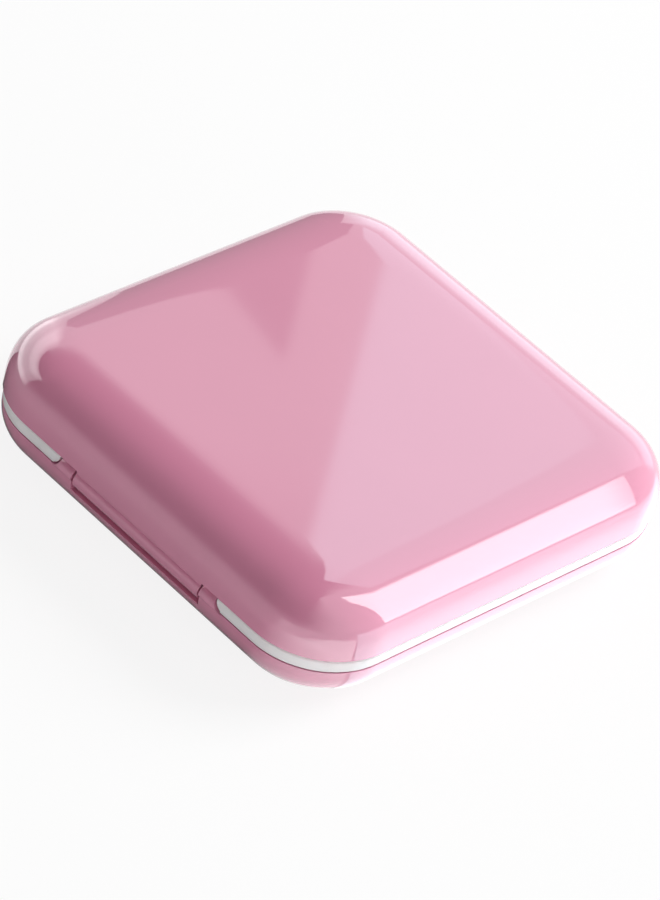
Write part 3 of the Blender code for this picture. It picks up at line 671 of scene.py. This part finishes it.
def make_letter(name, text, x):
    """A raised letter on a cap, standing on its roof."""
    outline = bpy.data.curves.new(name, "FONT")
    outline.body = text
    outline.size = letter_size
    outline.align_x = "CENTER"
    outline.align_y = "CENTER"
    outline.extrude = letter_height
    outline.bevel_depth = letter_edge
    outline.bevel_resolution = 1
    drawn = bpy.data.objects.new(name, outline)
    bpy.context.scene.collection.objects.link(drawn)
    bpy.context.view_layer.update()
    graph = bpy.context.evaluated_depsgraph_get()
    mesh = bpy.data.meshes.new_from_object(drawn.evaluated_get(graph))
    bpy.data.objects.remove(drawn)
    letter = bpy.data.objects.new(name, mesh)
    bpy.context.scene.collection.objects.link(letter)
    letter.data.materials.clear()
    letter.data.materials.append(pale_pink)
    return place_mesh(letter, x, well_y, well_foot_z + cap_top)


for hand, text, x in (("left", "L", -well_x), ("right", "R", well_x)):
    cap = make_cap(f"{hand}_cap_moulding", x)
    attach(cap, f"{hand}_cap")
    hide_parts(f"{hand}_cap")
    letter = make_letter(f"{hand}_cap_letter", text, x)
    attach(letter, f"{hand}_cap")
    seal_top = cap_roof - seal_gap
    seal_bottom = well_lip + seal_gap
    seal_profile = [(0.0, seal_top), (seal_radius, seal_top), (seal_radius, seal_bottom), (0.0, seal_bottom)]
    seal = place_mesh(turned(f"{hand}_seal_disc", seal_profile), x, well_y, well_foot_z)
    soften(seal, seal_edge, 2)
    seal.data.materials.append(silicone)
    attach(seal, f"{hand}_seal")
    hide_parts(f"{hand}_cap_seal")


# The tweezers are moulded in pale pink plastic: two bowed arms that spring from a round bow,
# each with a soft silicone tip pushed on. They lie flat in their lane on two low ribs.

tweezer_y = (bow_low.y + bow_high.y) / 2
tweezer_top = bow_high.z
bow_half = (bow_high.y - bow_low.y) / 2
arm_root_x = bow_low.x - side_gap
arm_end_x = -19.0 * MM
arm_root_spread = 1.75 * MM
arm_end_spread = 3.4 * MM
arm_bulge = 2.2 * MM
arm_root_width = 1.8 * MM
arm_end_width = 1.6 * MM
arm_steps = 40
tip_low, tip_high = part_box("tweezer_rear_tip")
bow_edge = 0.4 * MM
arm_edge = 0.35 * MM
tip_edge = 0.5 * MM
nearly_full = 0.98


def stands(edge):
    """True for an edge along Z."""
    return abs(edge.verts[0].co.z - edge.verts[1].co.z) > MM


bow = rounded_block("tweezer_bow_moulding", bow_low, bow_high, 0)
bm = bmesh.new()
bm.from_mesh(bow.data)
tail = [e for e in bm.edges if stands(e) and min(v.co.x for v in e.verts) > bow_low.x + bow_half]
bmesh.ops.bevel(
    bm, geom=tail, offset=bow_half * nearly_full, offset_type="OFFSET", segments=20,
    profile=0.5, affect="EDGES", material=-1,
)
bm.to_mesh(bow.data)
bm.free()
soften(bow, bow_edge)
bow.data.materials.append(pale_pink)
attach(bow, "base")
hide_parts("tweezer_bow")


def make_arm(name, side):
    """A bar, cut into short lengths and bent along the arm's line, that narrows towards the tip."""
    bm = bmesh.new()
    bmesh.ops.create_cube(bm, size=1.0)
    lengthwise = [e for e in bm.edges if abs(e.verts[0].co.x - e.verts[1].co.x) > 0.5]
    bmesh.ops.subdivide_edges(bm, edges=lengthwise, cuts=arm_steps - 1, use_grid_fill=True)
    for vertex in bm.verts:
        t = 0.5 - vertex.co.x
        spread = arm_root_spread + (arm_end_spread - arm_root_spread) * t + arm_bulge * math.sin(math.pi * t)
        width = arm_root_width + (arm_end_width - arm_root_width) * t
        vertex.co.x = arm_root_x + (arm_end_x - arm_root_x) * t
        vertex.co.y = tweezer_y + side * (spread + vertex.co.y * side * width)
        vertex.co.z = (tweezer_bottom + tweezer_top) / 2 + vertex.co.z * (tweezer_top - tweezer_bottom)
    arm = put_in_scene(name, bm)
    soften(arm, arm_edge)
    arm.data.materials.append(pale_pink)
    return arm


def make_tip(name, side):
    """A soft paddle with a round nose, pushed over the end of an arm."""
    nose = (tip_high.y - tip_low.y) / 2
    y = tweezer_y + side * arm_end_spread
    tip = rounded_block(name, (tip_low.x, y - nose, tip_low.z), (tip_high.x, y + nose, tip_high.z), 0)
    bm = bmesh.new()
    bm.from_mesh(tip.data)
    front = [e for e in bm.edges if stands(e) and max(v.co.x for v in e.verts) < tip_low.x + MM]
    bmesh.ops.bevel(
        bm, geom=front, offset=nose * nearly_full, offset_type="OFFSET", segments=16,
        profile=0.5, affect="EDGES", material=-1,
    )
    bm.to_mesh(tip.data)
    bm.free()
    soften(tip, tip_edge, 4)
    tip.data.materials.append(silicone)
    return tip


for end, side in (("front", -1), ("rear", 1)):
    arm = make_arm(f"tweezer_{end}_arm_moulding", side)
    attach(arm, f"{end}_arm")
    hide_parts(f"tweezer_{end}_arm")
    tip = make_tip(f"tweezer_{end}_tip_sleeve", side)
    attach(tip, f"{end}_arm")
    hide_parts(f"tweezer_{end}_tip")


# The applicator is a round stick moulded in pale pink plastic, with a ringed grip. A silicone suction cup
# is pushed on its peg and lifts the lens out of its well. It lies in the tray's two cradles.

handle_low, handle_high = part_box("applicator_handle")
handle_length = 40.0 * MM
handle_waist = 2.1 * MM
peg_radius = 1.3 * MM
peg_length = 4.0 * MM
cup_root = 2.3 * MM
cup_mouth = 3.2 * MM
cup_length = cup_high.x - handle_low.x
cup_hollow = 2.4 * MM
ring_count = 5
ring_step = 1.5 * MM
ring_depth = 0.25 * MM
ring_half = 0.35 * MM
applicator_steps = 48
applicator_edge = 0.12 * MM


def lay_along_x(piece):
    """Lays a piece turned about Z along the applicator's lane, its foot at the handle's tail."""
    tail = Matrix.Translation((handle_low.x, applicator_y, applicator_z))
    piece.data.transform(tail @ Matrix.Rotation(math.pi / 2, 4, "Y"))
    return piece


peg_end = handle_length + peg_length
handle_profile = [
    (0.0, peg_end), (peg_radius, peg_end), (peg_radius, handle_length), (handle_waist, handle_length),
    (handle_waist, handle_length * 0.76), (handle_radius, handle_length * 0.55),
]
grip_start = handle_length * 0.46
for ring in range(ring_count):
    z = grip_start - ring * ring_step
    groove = (handle_radius - ring_depth, z - ring_half)
    handle_profile += [(handle_radius, z), groove, (handle_radius, z - 2 * ring_half)]
handle_profile += arc((0.0, handle_radius), handle_radius, 0, -90, 12)
handle = lay_along_x(turned("applicator_stick", handle_profile, applicator_steps))
soften(handle, applicator_edge, 2, 25.0)
handle.data.materials.append(pale_pink)
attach(handle, "base")
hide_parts("applicator_handle")

socket_gap = 0.2 * MM
cup_lip = 0.45 * MM
bore = peg_radius + socket_gap
bore_end = handle_length + peg_length + socket_gap
cup_foot = handle_length + side_gap
cup_profile = [
    (0.0, cup_length - cup_hollow), (cup_mouth * 0.6, cup_length - 0.55 * cup_hollow),
    (cup_mouth - cup_lip, cup_length), (cup_mouth, cup_length),
    (cup_mouth * 0.86, cup_length - 0.8 * cup_hollow), (cup_root, cup_length - 2 * cup_hollow),
    (cup_root, cup_foot), (bore, cup_foot), (bore, bore_end), (0.0, bore_end),
]
cup = lay_along_x(turned("applicator_suction_cup", cup_profile, applicator_steps))
soften(cup, applicator_edge, 2, 30.0)
cup.data.materials.append(silicone)
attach(cup, "base")
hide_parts("applicator_cup")


# The lid shell is moulded like the base, in the same pink plastic, with a flat top that rolls down in a full
# curve. A barrel hangs from its rear edge on a short neck, and turns on the pin between the base's ears.

lid_height = case_height - lid_rim_z
lid_roll = 11.5 * MM
lid_fullness = 0.63
neck_outer = case_half - 0.6 * MM
neck_inner = case_half - 1.4 * MM
neck_root = lid_rim_z + 1.0 * MM

bm = rolled_tub(case_half, corner_radius, lid_height, lid_roll, lid_fullness, roll_steps=28)
bmesh.ops.scale(bm, verts=bm.verts, vec=(1, 1, -1))
bmesh.ops.translate(bm, verts=bm.verts, vec=(0, 0, case_height))
bmesh.ops.reverse_faces(bm, faces=bm.faces)
lid_shell = put_in_scene("lid_shell_moulding", bm)
give_wall(lid_shell)
barrel = rod("barrel", barrel_radius, barrel_half, hinge_y, hinge_z)
neck = rounded_block("neck", (-barrel_half, neck_inner, hinge_z), (barrel_half, neck_outer, neck_root), 0)
combine(barrel, "UNION", neck)
combine(lid_shell, "UNION", barrel)
combine(lid_shell, "DIFFERENCE", rod("barrel_bore", pin_hole, case_half, hinge_y, hinge_z))
soften(lid_shell, shell_edge)
lid_shell.data.materials.append(pink_gloss)
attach(lid_shell, "lid")
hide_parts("lid_shell")


# The mirror is a square of silvered glass with round corners, stuck under the lid's roof with foam tape.
# A frame moulded in satin white plastic, a flat ring with a rounded window edge, surrounds it.

frame_low, frame_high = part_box("mirror_frame")
mirror_low, mirror_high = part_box("mirror")
mirror_corner = 4.5 * MM
frame_corner = 5.5 * MM
frame_edge = 0.3 * MM
glass_edge = 0.25 * MM

mirror_frame = rounded_plate("mirror_frame_ring", frame_high.x, frame_corner, frame_low.z, frame_high.z)
window = mirror_high.x + side_gap
window_cut = rounded_plate("window", window, mirror_corner + side_gap, 0, 2 * case_height)
combine(mirror_frame, "DIFFERENCE", window_cut)
soften(mirror_frame, frame_edge)
mirror_frame.data.materials.append(white_satin)
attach(mirror_frame, "lid")
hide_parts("mirror_frame")

mirror = rounded_plate("mirror_glass", mirror_high.x, mirror_corner, mirror_low.z, mirror_high.z)
soften(mirror, glass_edge, 1)


def silvered_glass(name):
    """A bright mirror with faint fingerprints where it has been wiped."""
    material = bpy.data.materials.new(name)
    material.use_nodes = True
    tree = material.node_tree
    shader = tree.nodes["Principled BSDF"]
    shader.inputs["Metallic"].default_value = 1.0
    where = tree.nodes.new("ShaderNodeTexCoord").outputs["Object"]
    smudge = node(tree, "ShaderNodeTexNoise", {
        "Vector": where, "Scale": 70.0, "Detail": 4.0, "Distortion": 1.5,
    })
    rough = node(tree, "ShaderNodeMapRange", {
        "Value": smudge.outputs["Fac"], "From Min": 0.5, "From Max": 0.75, "To Min": 0.012, "To Max": 0.06,
    })
    colour = node(tree, "ShaderNodeValToRGB", {"Fac": smudge.outputs["Fac"]})
    colour.color_ramp.elements[0].color = (0.92, 0.93, 0.94, 1.0)
    colour.color_ramp.elements[1].color = (0.86, 0.88, 0.89, 1.0)
    tree.links.new(colour.outputs[0], shader.inputs["Base Color"])
    tree.links.new(rough.outputs[0], shader.inputs["Roughness"])
    return material


mirror.data.materials.append(silvered_glass("silvered_glass"))
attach(mirror, "lid")
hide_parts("mirror")

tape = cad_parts["mirror_tape"]
foam = moulded_plastic("foam_tape", (0.50, 0.50, 0.50), 0.75, flow=0.20, scuffs=0.0, skin=0.6)
tape.data.materials.clear()
tape.data.materials.append(foam)


# The studio: a plain white floor, an even white surround, a soft key lamp from beyond the opening edge,
# and two weak low fills. White cards and dark flags, which only glossy surfaces see, give the lid
# its bands of light and shade.

white = (1.0, 1.0, 1.0, 1.0)
surround_light = 0.31
floor_half = 3.0
floor_drop = 0.05 * MM
floor_grey = (0.93, 0.93, 0.93, 1.0)
floor_glow_share = 0.86

scene = bpy.context.scene
scene.view_settings.view_transform = "Standard"


def seen_directly(tree):
    """A value of 1 for rays from the camera, and for those that a glossy or clear surface sends on."""
    path = tree.nodes.new("ShaderNodeLightPath")
    glossy = node(tree, "ShaderNodeMath", {
        0: path.outputs["Is Camera Ray"], 1: path.outputs["Is Glossy Ray"],
    }, operation="MAXIMUM")
    clear = node(tree, "ShaderNodeMath", {
        0: glossy.outputs[0], 1: path.outputs["Is Transmission Ray"],
    }, operation="MAXIMUM")
    return clear.outputs[0]


world = bpy.data.worlds.new("studio")
scene.world = world
world.use_nodes = True
tree = world.node_tree
background = tree.nodes["Background"]
background.inputs["Color"].default_value = white
level = node(tree, "ShaderNodeMapRange", {
    "Value": seen_directly(tree), "To Min": surround_light, "To Max": 1.0,
})
tree.links.new(level.outputs[0], background.inputs["Strength"])

bm = bmesh.new()
bmesh.ops.create_grid(bm, x_segments=1, y_segments=1, size=floor_half)
bmesh.ops.translate(bm, verts=bm.verts, vec=(0, 0, -floor_drop))
floor = put_in_scene("floor", bm)
floor_paint = bpy.data.materials.new("floor_paint")
floor_paint.use_nodes = True
tree = floor_paint.node_tree
paint = tree.nodes["Principled BSDF"]
paint.inputs["Base Color"].default_value = floor_grey
paint.inputs["Roughness"].default_value = 0.9
paint.inputs["Specular IOR Level"].default_value = 0.0
glow = node(tree, "ShaderNodeEmission", {"Color": white, "Strength": 1.0})
share = node(tree, "ShaderNodeMath", {0: seen_directly(tree), 1: floor_glow_share}, operation="MULTIPLY")
mix = node(tree, "ShaderNodeMixShader", {0: share.outputs[0], 1: paint.outputs[0], 2: glow.outputs[0]})
tree.links.new(mix.outputs[0], tree.nodes["Material Output"].inputs["Surface"])
floor.data.materials.append(floor_paint)


def lamp(name, place, aim, size, power):
    """A square soft lamp that gives light and shadow, and no reflection of its own."""
    light = bpy.data.lights.new(name, "AREA")
    light.energy = power
    light.size = size
    lamp_object = bpy.data.objects.new(name, light)
    lamp_object.location = place
    lamp_object.rotation_euler = (Vector(aim) - Vector(place)).to_track_quat("-Z", "Y").to_euler()
    lamp_object.visible_glossy = False
    scene.collection.objects.link(lamp_object)


lamp("key", (-0.291, -0.625, 0.579), (0, 0, 0.01), 0.5, 8.0)
lamp("low_fill", (-0.79, 0.07, 0.11), (0, 0, 0.005), 0.4, 1.9)
lamp("hinge_side_fill", (0.27, 0.75, 0.06), (0, 0, 0.005), 0.4, 0.65)

cool_white = Vector((0.86, 1.0, 1.05))
card_paint = bpy.data.materials.new("card_paint")
card_paint.use_nodes = True
tree = card_paint.node_tree
level = node(tree, "ShaderNodeAttribute", attribute_name="glow")
glow = node(tree, "ShaderNodeEmission", {"Color": level.outputs["Color"], "Strength": 1.0})
tree.links.new(glow.outputs[0], tree.nodes["Material Output"].inputs["Surface"])


def upright(azimuth, distance):
    """Places a card's points, in mm, on an upright plane that faces the case; X runs left seen from there."""
    away = Vector((math.cos(math.radians(azimuth)), math.sin(math.radians(azimuth)), 0))
    left = Vector((-away.y, away.x, 0))
    return lambda x, z: away * distance + left * x * MM + Vector((0, 0, z * MM))


def dome(radius):
    """Places a card's points, in degrees of azimuth and elevation, on a dome around the case."""
    def place(azimuth, elevation):
        turn = math.radians(azimuth)
        rise = math.radians(elevation)
        across = radius * math.cos(rise)
        return Vector((across * math.cos(turn), across * math.sin(turn), radius * math.sin(rise)))
    return place


def arch(y, girth, foot_x=-33.0, foot_z=15.0, taper=2.2):
    """Places a card's points on an upright arch, in degrees down from its crown towards -X and mm of radius.

    The arch is centred on the lid's side edge. Past the girth, in mm, it narrows to a point at its crown.
    """
    def place(angle, radius):
        lean = math.radians(angle) * min(1.0, girth / radius) ** taper
        x = foot_x - radius * math.sin(lean)
        z = foot_z + radius * math.cos(lean)
        return Vector((x * MM, y, z * MM))
    return place


def on_floor(x, y):
    """Places a card's points, in mm, just above the floor."""
    return Vector((x, y, 0.2)) * MM


def card(name, place, columns, rows, level, slope=0.0, tint=Vector((1, 1, 1))):
    """A card that only glossy surfaces see.

    Columns and rows are stops of (where, weight), in the units that the place function takes. The product
    of two weights takes the card's glow from the surround's white at 0 to the card's own level at 1.
    """
    bm = bmesh.new()
    glow = bm.verts.layers.float_vector.new("glow")
    grid = []
    for y, row_weight in rows:
        line = []
        for x, column_weight in columns:
            vertex = bm.verts.new(place(x, y + slope * x))
            vertex[glow] = Vector((1, 1, 1)).lerp(level * tint, row_weight * column_weight)
            line.append(vertex)
        grid.append(line)
    for lower, upper in zip(grid, grid[1:]):
        for i in range(len(columns) - 1):
            bm.faces.new((lower[i], lower[i + 1], upper[i + 1], upper[i]))
    made = put_in_scene(name, bm)
    made.data.materials.append(card_paint)
    made.visible_camera = False
    made.visible_diffuse = False
    made.visible_shadow = False
    made.visible_transmission = False


# The tall card and the wedge part the lid's top into paler and deeper fields. The low card lights
# its far edge.
card("tall_white_card", upright(-52, 0.60), [(-500, 0.7), (-72, 0.7), (-66, 1), (-1, 1), (2, 0)],
     [(240, 1), (1000, 1)], 1.65, tint=cool_white)
card("grey_wedge_card", upright(-52, 0.60), [(19, 0), (22, 1), (230, 1)],
     [(100, 1.4), (500, 1), (504, 0)], 0.5, slope=-0.95)
card("low_back_card", upright(-70, 0.50), [(-260, 0), (-200, 1), (150, 1), (210, 0)],
     [(15, 1), (170, 1), (260, 0)], 1.8, tint=cool_white)

# The flags darken the hinge side and the far corner, and the corner card puts a glint between them.
dark_level = 0.06
hinge_side = [(-19, 1)] + [(turn, 1) for turn in range(-10, 110, 10)] + [(115, 1), (130, 0.6), (155, 0)]
card("hinge_side_flag", dome(1.6), hinge_side,
     [(-2, 0.5), (8, 0.75), (20, 1), (40, 1), (60, 1), (80, 1), (89, 1)], dark_level)
card("upper_flag", dome(1.6), [(-75, 0), (-55, 0.9), (-40, 1), (-30, 1), (-19, 1)],
     [(39.5, 0), (44, 0.75), (48, 0.95), (54, 1), (70, 1), (89, 1)], dark_level)
card("corner_card", dome(0.5), [(-33, 0), (-27, 1), (-13, 1), (0, 1), (12, 1), (22, 1), (30, 1), (44, 0)],
     [(0, 0.7), (8, 1), (15, 0.45), (25, 0.4), (31, 0.85), (37, 0.85), (42, 0)], 2.4)

# The arch is the softbox that shows as a bright stripe along the lid's side.
half_round = [(2, 0), (7, 1)] + [(angle, 1) for angle in range(15, 85, 10)] + [(89, 1), (93, 0)]
card("softbox_arch", arch(-0.45, 640), half_round,
     [(490, 0), (510, 1), (640, 1), (700, 1), (800, 1), (1000, 1), (1300, 1), (1500, 1), (1700, 0)], 4.2)

# Cards on the floor show in the rolled undersides: dark behind the hinge, pale at the near corner and side.
card("hinge_side_floor_flag", on_floor, [(-30, 0), (-20, 1), (60, 1), (900, 1)],
     [(27, 1.7), (46, 1.4), (60, 1), (300, 1), (900, 1)], 0.45)
card("front_corner_card", on_floor, [(-85, 0), (-70, 1), (-46, 1), (-30, 0)],
     [(27, 1), (50, 1), (62, 0)], 2.2)
card("right_floor_card", on_floor,
     [(-400, 0), (-250, 0.6), (-120, 0.9), (-62, 0.8), (-48, 1), (-40, 1), (-30, 0.3)],
     [(-200, 0), (-60, 1), (26, 1)], 2.3, tint=cool_white)


# The camera stands off the case's hinge corner with a long lens and looks down on it, tilted a little,
# as in a catalogue picture.

camera_azimuth = math.radians(218.181)
camera_elevation = math.radians(38.718)
camera_tilt = math.radians(14.801)
camera_aim = Vector((-1.667, 1.813, 9.6)) * MM
camera_distance = 728.6 * MM
camera_lens = 212.5

back = Vector((
    math.sin(camera_azimuth) * math.cos(camera_elevation),
    -math.cos(camera_azimuth) * math.cos(camera_elevation),
    math.sin(camera_elevation),
))
level_right = Vector((math.cos(camera_azimuth), math.sin(camera_azimuth), 0))
level_up = back.cross(level_right)
right = level_right * math.cos(camera_tilt) + level_up * math.sin(camera_tilt)
up = level_up * math.cos(camera_tilt) - level_right * math.sin(camera_tilt)
lens = bpy.data.cameras.new("camera")
lens.lens = camera_lens
lens.clip_start = 0.01
camera = bpy.data.objects.new("camera", lens)
turn = Matrix((right, up, back)).transposed().to_4x4()
camera.matrix_world = Matrix.Translation(camera_aim + back * camera_distance) @ turn
scene.collection.objects.link(camera)
scene.camera = camera
